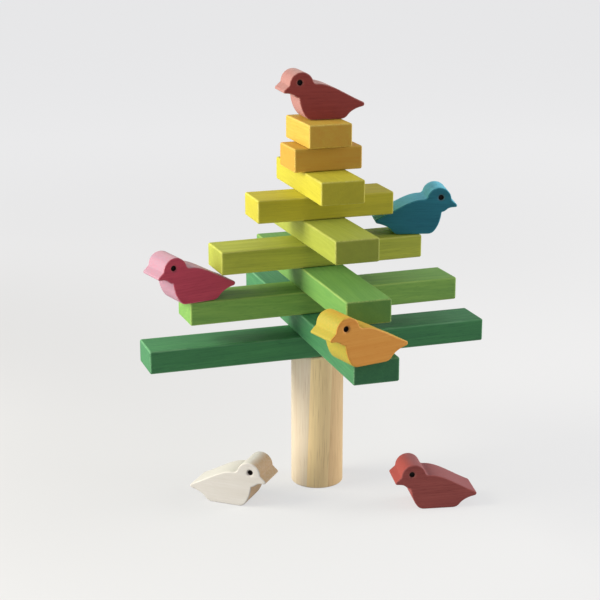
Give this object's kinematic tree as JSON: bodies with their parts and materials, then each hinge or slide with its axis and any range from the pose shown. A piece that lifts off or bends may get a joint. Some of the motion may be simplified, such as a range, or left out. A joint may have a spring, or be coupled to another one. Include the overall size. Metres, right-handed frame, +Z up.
{
  "type": "balancing tree game",
  "caption": "Wooden balancing game shaped like a fir tree: a round post carries stained boards laid crosswise in shrinking tiers, and sawn birds perch on the boards.",
  "frame": {"origin": "centre of the trunk's flat foot, at table height", "axes": "+Z up along the trunk, +X to the right and +Y to the back as seen from the front"},
  "size_m": [0.2254, 0.2392, 0.2704],
  "materials": {
    "bare_rubberwood": "satin",
    "dark_green_stain": "satin",
    "green_stain": "satin",
    "yellow_green_stain": "satin",
    "lime_stain": "satin",
    "amber_stain": "satin",
    "red_stain": "satin",
    "yellow_stain": "satin",
    "crimson_stain": "satin",
    "blue_stain": "satin",
    "white_stain": "satin",
    "russet_stain": "satin"
  },
  "bodies": {
    "trunk": {"trunk": "bare_rubberwood"},
    "branch_1_side_to_side": {"branch_1_side_to_side": "dark_green_stain"},
    "branch_1_front_to_back": {"branch_1_front_to_back": "dark_green_stain"},
    "branch_2_side_to_side": {"branch_2_side_to_side": "green_stain"},
    "branch_2_front_to_back": {"branch_2_front_to_back": "green_stain"},
    "branch_3_side_to_side": {"branch_3_side_to_side": "yellow_green_stain"},
    "branch_3_front_to_back": {"branch_3_front_to_back": "yellow_green_stain"},
    "branch_4_side_to_side": {"branch_4_side_to_side": "lime_stain"},
    "branch_4_front_to_back": {"branch_4_front_to_back": "lime_stain"},
    "branch_5_side_to_side": {"branch_5_side_to_side": "amber_stain"},
    "branch_5_front_to_back": {"branch_5_front_to_back": "amber_stain"},
    "bird_red": {"bird_red": "red_stain"},
    "bird_yellow": {"bird_yellow": "yellow_stain"},
    "bird_crimson": {"bird_crimson": "crimson_stain"},
    "bird_blue": {"bird_blue": "blue_stain"},
    "bird_white": {"bird_white": "white_stain"},
    "bird_russet": {"bird_russet": "russet_stain"}
  },
  "joints": [
    {"name": "branch_1_side_to_side_turn", "type": "hinge", "parent": "trunk", "child": "branch_1_side_to_side", "pos_m": [0, 0, 0.09], "axis": [0, 0, 1], "continuous": true},
    {"name": "branch_1_front_to_back_turn", "type": "hinge", "parent": "branch_1_side_to_side", "child": "branch_1_front_to_back", "pos_m": [-0.0025, -0.001, 0.105], "axis": [0, 0, 1], "continuous": true},
    {"name": "branch_2_side_to_side_turn", "type": "hinge", "parent": "branch_1_front_to_back", "child": "branch_2_side_to_side", "pos_m": [-0.0025, -0.0025, 0.12], "axis": [0, 0, 1], "range_deg": [-180, 60]},
    {"name": "branch_2_front_to_back_turn", "type": "hinge", "parent": "branch_2_side_to_side", "child": "branch_2_front_to_back", "pos_m": [-0.0015, -0.0025, 0.135], "axis": [0, 0, 1], "range_deg": [-60, 60]},
    {"name": "branch_3_side_to_side_turn", "type": "hinge", "parent": "branch_2_front_to_back", "child": "branch_3_side_to_side", "pos_m": [-0.0015, -0.001, 0.15], "axis": [0, 0, 1], "continuous": true},
    {"name": "branch_3_front_to_back_turn", "type": "hinge", "parent": "branch_3_side_to_side", "child": "branch_3_front_to_back", "pos_m": [0, -0.001, 0.165], "axis": [0, 0, 1], "range_deg": [-45, 55]},
    {"name": "branch_4_side_to_side_turn", "type": "hinge", "parent": "branch_3_front_to_back", "child": "branch_4_side_to_side", "pos_m": [0, 0, 0.18], "axis": [0, 0, 1], "continuous": true},
    {"name": "branch_4_front_to_back_turn", "type": "hinge", "parent": "branch_4_side_to_side", "child": "branch_4_front_to_back", "pos_m": [0.0015, 0, 0.195], "axis": [0, 0, 1], "continuous": true},
    {"name": "branch_5_side_to_side_turn", "type": "hinge", "parent": "branch_4_front_to_back", "child": "branch_5_side_to_side", "pos_m": [0.0015, 0.003, 0.21], "axis": [0, 0, 1], "continuous": true},
    {"name": "branch_5_front_to_back_turn", "type": "hinge", "parent": "branch_5_side_to_side", "child": "branch_5_front_to_back", "pos_m": [0.003, 0.003, 0.225], "axis": [0, 0, 1], "continuous": true},
    {"name": "bird_red_lift", "type": "slide", "parent": "branch_5_front_to_back", "child": "bird_red", "axis": [0, 0, 1], "range_m": [0, 0.05]},
    {"name": "bird_yellow_lift", "type": "slide", "parent": "branch_1_front_to_back", "child": "bird_yellow", "axis": [0, 0, 1], "range_m": [0, 0.05]},
    {"name": "bird_crimson_draw", "type": "slide", "parent": "branch_2_side_to_side", "child": "bird_crimson", "axis": [-1, 0, 0], "range_m": [0, 0.05]},
    {"name": "bird_blue_draw", "type": "slide", "parent": "branch_3_side_to_side", "child": "bird_blue", "axis": [1, 0, 0], "range_m": [0, 0.05]},
    {"name": "bird_white_lift", "type": "slide", "parent": "trunk", "child": "bird_white", "axis": [0, 0, 1], "range_m": [0, 0.05]},
    {"name": "bird_russet_lift", "type": "slide", "parent": "trunk", "child": "bird_russet", "axis": [0, 0, 1], "range_m": [0, 0.05]}
  ]
}
